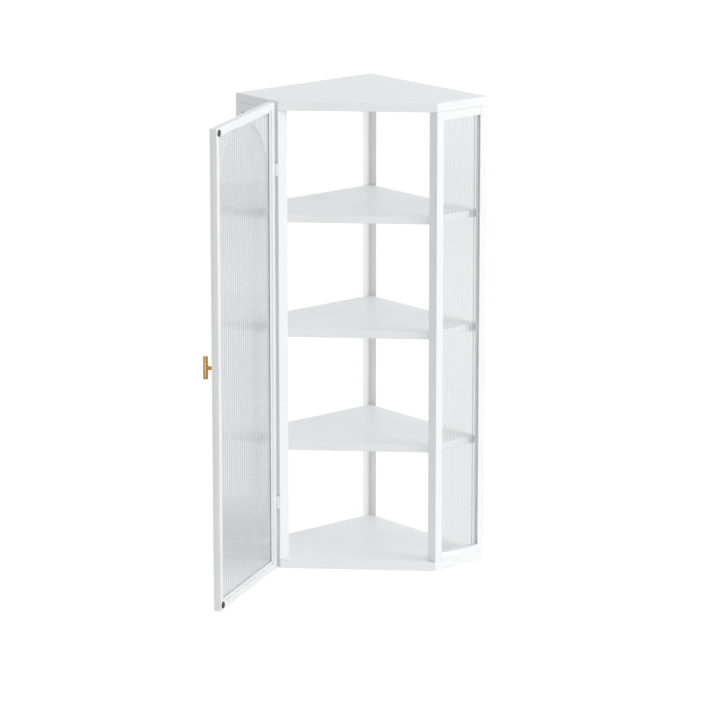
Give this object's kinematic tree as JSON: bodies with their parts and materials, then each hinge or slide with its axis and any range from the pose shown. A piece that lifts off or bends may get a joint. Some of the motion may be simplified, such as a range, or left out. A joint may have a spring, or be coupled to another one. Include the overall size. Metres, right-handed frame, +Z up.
{
  "type": "corner cupboard",
  "caption": "Tall glazed corner cupboard with folded metal shelves, reeded glass sides and a full-height door with an arched face panel.",
  "frame": {"origin": "middle of the case's underside on the floor, halfway between its front and its back corner", "axes": "+Z up, +Y to the back corner where the two room walls meet, -Y out of the front, +X to the right seen from the front"},
  "size_m": [0.5498, 0.6803, 1],
  "materials": {
    "paint": "satin white powder coat",
    "glass": "reeded clear glass",
    "brass": "brushed brass",
    "magnet": "dark nickel plating",
    "zinc": "bright zinc plating",
    "nylon": "white nylon"
  },
  "bodies": {
    "case": {"back_post": "paint", "base_panel": "paint", "base_stiffener": "paint", "glide_back": "nylon", "glide_centre": "nylon", "glide_front_left": "nylon", "glide_front_right": "nylon", "glide_wall_left": "nylon", "glide_wall_right": "nylon", "hinge_lower_pin": "zinc", "hinge_lower_post_leaf": "paint", "hinge_lower_screw_bottom": "zinc", "hinge_lower_screw_top": "zinc", "hinge_upper_pin": "zinc", "hinge_upper_post_leaf": "paint", "hinge_upper_screw_bottom": "zinc", "hinge_upper_screw_top": "zinc", "left_bottom_rail": "paint", "left_front_post": "paint", "left_glass": "glass", "left_glass_bead": "paint", "left_top_rail": "paint", "left_wall_post": "paint", "right_bottom_rail": "paint", "right_front_post": "paint", "right_glass": "glass", "right_glass_bead": "paint", "right_top_rail": "paint", "right_wall_post": "paint", "shelf_lower": "paint", "shelf_lower_screw_left_front": "zinc", "shelf_lower_screw_left_wall": "zinc", "shelf_lower_screw_right_front": "zinc", "shelf_lower_screw_right_wall": "zinc", "shelf_middle": "paint", "shelf_middle_screw_left_front": "zinc", "shelf_middle_screw_left_wall": "zinc", "shelf_middle_screw_right_front": "zinc", "shelf_middle_screw_right_wall": "zinc", "shelf_upper": "paint", "shelf_upper_screw_left_front": "zinc", "shelf_upper_screw_left_wall": "zinc", "shelf_upper_screw_right_front": "zinc", "shelf_upper_screw_right_wall": "zinc", "top_panel": "paint"},
    "door": {"door_arch_panel": "paint", "door_bottom_rail": "paint", "door_free_stile": "paint", "door_glass": "glass", "door_hinge_stile": "paint", "door_magnet_bottom": "magnet", "door_magnet_top": "magnet", "door_top_rail": "paint", "hinge_lower_door_leaf": "paint", "hinge_upper_door_leaf": "paint", "knob_bar": "brass", "knob_neck": "brass", "knob_nut": "zinc"}
  },
  "joints": [
    {"name": "door_hinge", "type": "hinge", "parent": "case", "child": "door", "pos_m": [-0.16806, -0.1806, 0.5], "axis": [0, 0, -1], "range_deg": [-105, 45]}
  ]
}
